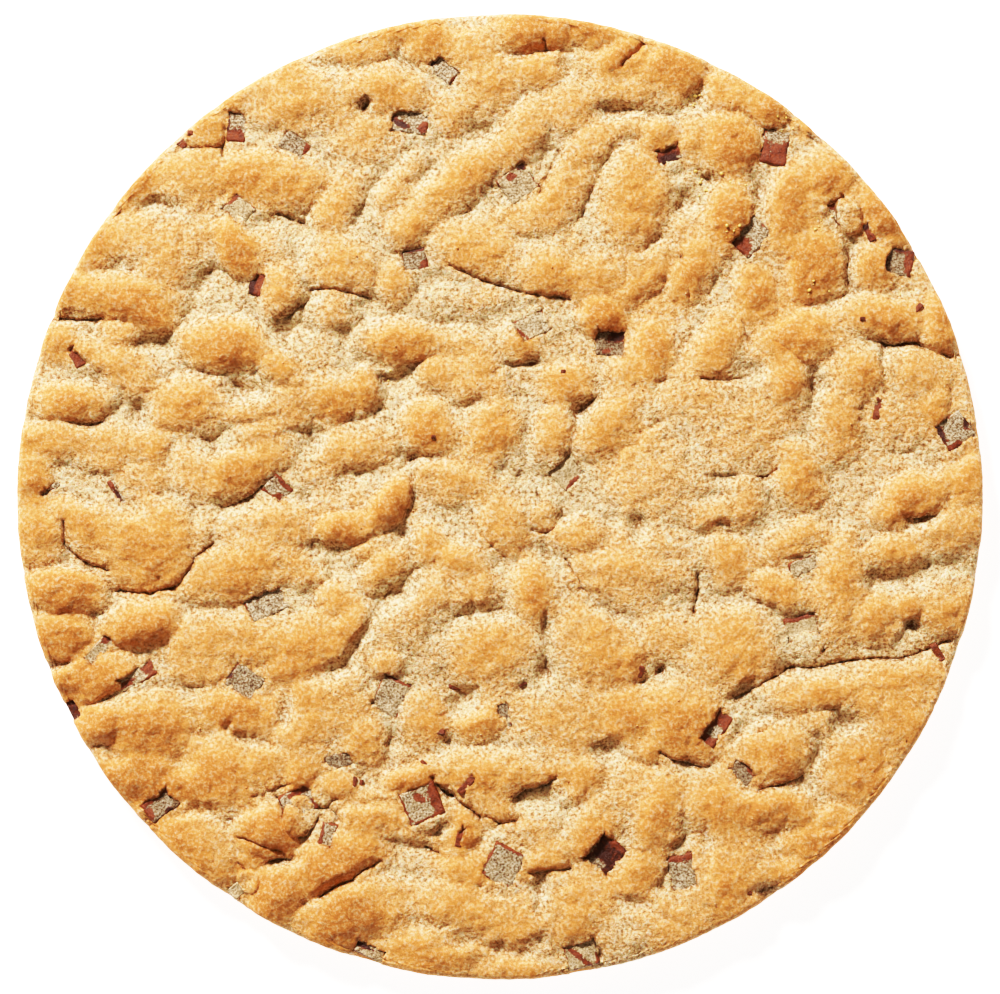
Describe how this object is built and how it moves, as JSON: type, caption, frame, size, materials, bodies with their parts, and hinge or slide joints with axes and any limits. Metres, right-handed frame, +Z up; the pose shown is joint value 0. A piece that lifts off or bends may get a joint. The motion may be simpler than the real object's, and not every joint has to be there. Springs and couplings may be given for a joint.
{
  "type": "cookie cake",
  "caption": "Round, flat chocolate-chunk cookie cake: a thick disc of lumpy golden dough with squarish chunks of milk chocolate set in its top.",
  "frame": {"origin": "middle of the flat underside", "axes": "+Z up through the baked top, +Y towards the picture's top edge, +X to its right"},
  "size_m": [0.305, 0.3048, 0.0146],
  "materials": {
    "baked_dough": "baked cookie dough: sandy and matte, golden brown on the lumps, pale cream in the valleys",
    "milk_chocolate": "milk chocolate, satin where bare, dulled by a thin greyish film of dough elsewhere"
  },
  "bodies": {
    "root": {"dough": "baked_dough", "chocolate_chunk_01": "milk_chocolate", "chocolate_chunk_02": "milk_chocolate", "chocolate_chunk_03": "milk_chocolate", "chocolate_chunk_04": "milk_chocolate", "chocolate_chunk_05": "milk_chocolate", "chocolate_chunk_06": "milk_chocolate", "chocolate_chunk_07": "milk_chocolate", "chocolate_chunk_08": "milk_chocolate", "chocolate_chunk_09": "milk_chocolate", "chocolate_chunk_10": "milk_chocolate", "chocolate_chunk_11": "milk_chocolate", "chocolate_chunk_12": "milk_chocolate", "chocolate_chunk_13": "milk_chocolate", "chocolate_chunk_14": "milk_chocolate", "chocolate_chunk_15": "milk_chocolate", "chocolate_chunk_16": "milk_chocolate", "chocolate_chunk_17": "milk_chocolate", "chocolate_chunk_18": "milk_chocolate", "chocolate_chunk_19": "milk_chocolate", "chocolate_chunk_20": "milk_chocolate", "chocolate_chunk_21": "milk_chocolate", "chocolate_chunk_22": "milk_chocolate", "chocolate_chunk_23": "milk_chocolate", "chocolate_chunk_24": "milk_chocolate", "chocolate_chunk_25": "milk_chocolate", "chocolate_chunk_26": "milk_chocolate", "chocolate_chunk_27": "milk_chocolate", "chocolate_chunk_28": "milk_chocolate", "chocolate_chunk_29": "milk_chocolate", "chocolate_chunk_30": "milk_chocolate", "chocolate_chunk_31": "milk_chocolate", "chocolate_chunk_32": "milk_chocolate", "chocolate_chunk_33": "milk_chocolate", "chocolate_chunk_34": "milk_chocolate", "chocolate_chunk_35": "milk_chocolate", "chocolate_chunk_36": "milk_chocolate", "chocolate_chunk_37": "milk_chocolate", "chocolate_chunk_38": "milk_chocolate", "chocolate_chunk_39": "milk_chocolate", "chocolate_chunk_40": "milk_chocolate", "chocolate_chunk_41": "milk_chocolate", "chocolate_chunk_42": "milk_chocolate", "chocolate_chunk_43": "milk_chocolate", "chocolate_chunk_44": "milk_chocolate", "chocolate_chunk_45": "milk_chocolate", "chocolate_chunk_46": "milk_chocolate", "chocolate_chunk_47": "milk_chocolate", "chocolate_chunk_48": "milk_chocolate"}
  },
  "joints": []
}
